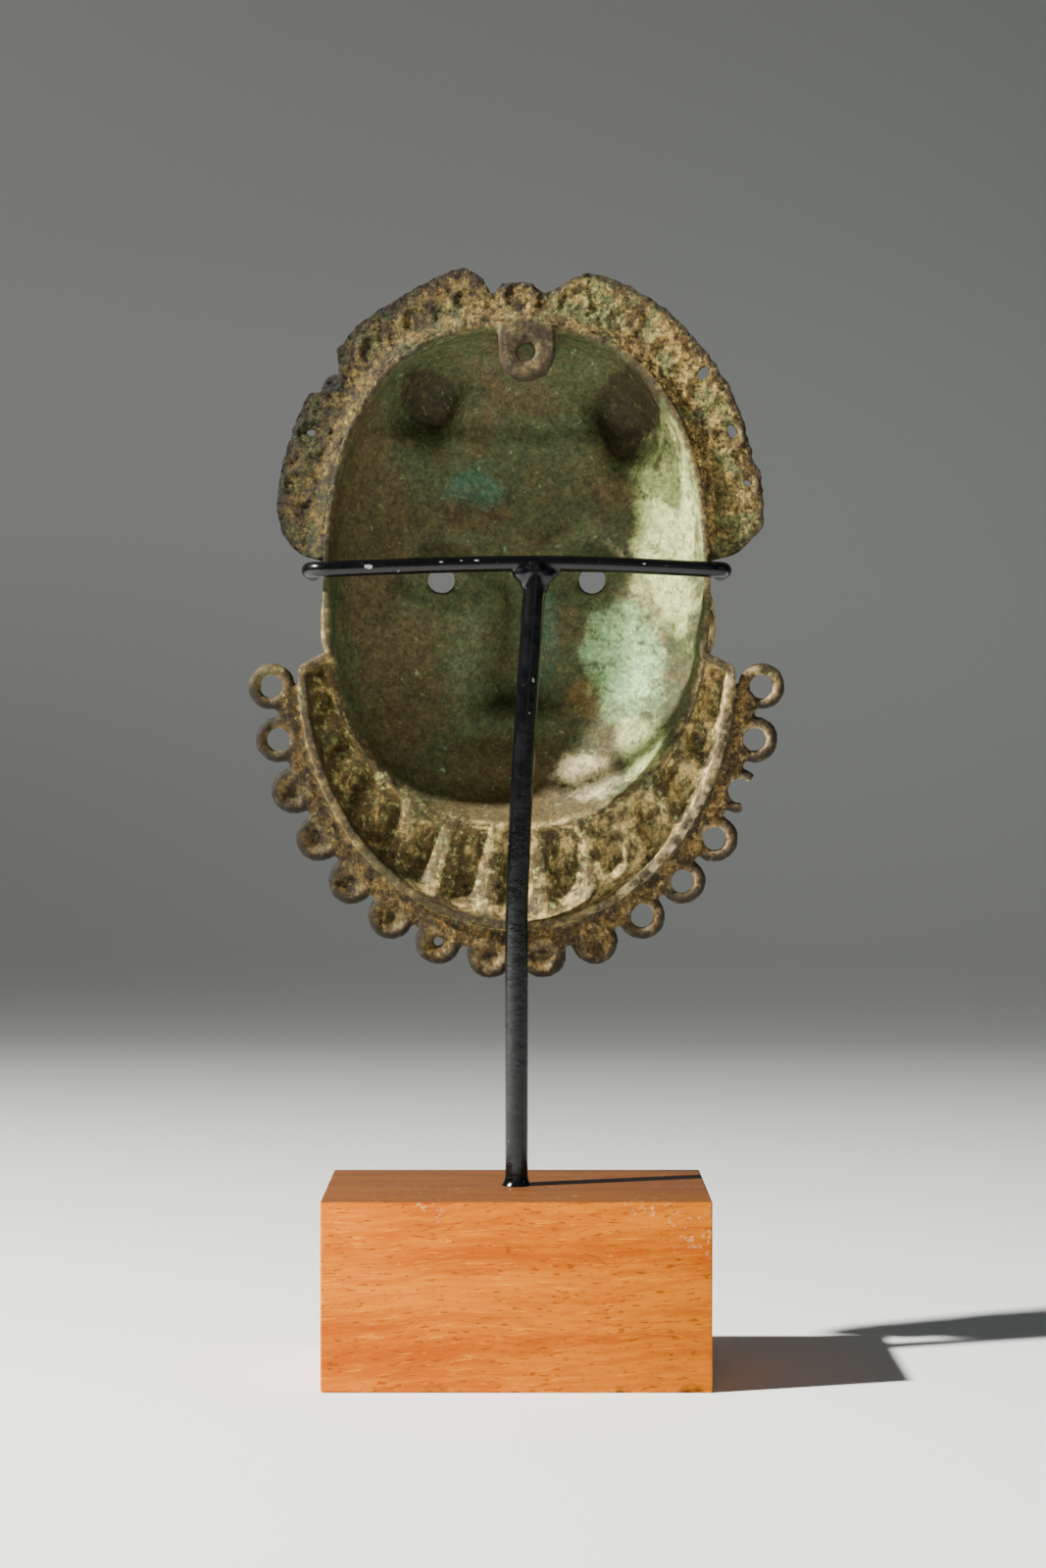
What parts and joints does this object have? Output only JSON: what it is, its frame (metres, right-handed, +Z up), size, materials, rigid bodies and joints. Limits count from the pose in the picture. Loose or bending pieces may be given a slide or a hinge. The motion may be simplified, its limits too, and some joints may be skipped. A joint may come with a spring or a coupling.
{
  "type": "bronze hip mask on stand",
  "caption": "Hollow cast bronze hip mask with fluted collar, ring border and head flange, held on a steel rod cradle in a wooden block.",
  "frame": {"origin": "centre of the block's underside, where the stand rests", "axes": "+Z up, +Y the way the mask faces, +X the viewer's right when the open back is seen"},
  "size_m": [0.1426, 0.065, 0.2919],
  "materials": {
    "patinated_bronze": "green and brown patina, matte, worn edges bright",
    "black_steel": "glossy black paint with small chips",
    "orange_wood": "semi-gloss varnish"
  },
  "bodies": {
    "root": {"mask": "patinated_bronze", "cradle": "black_steel", "wood_block": "orange_wood"}
  },
  "joints": []
}
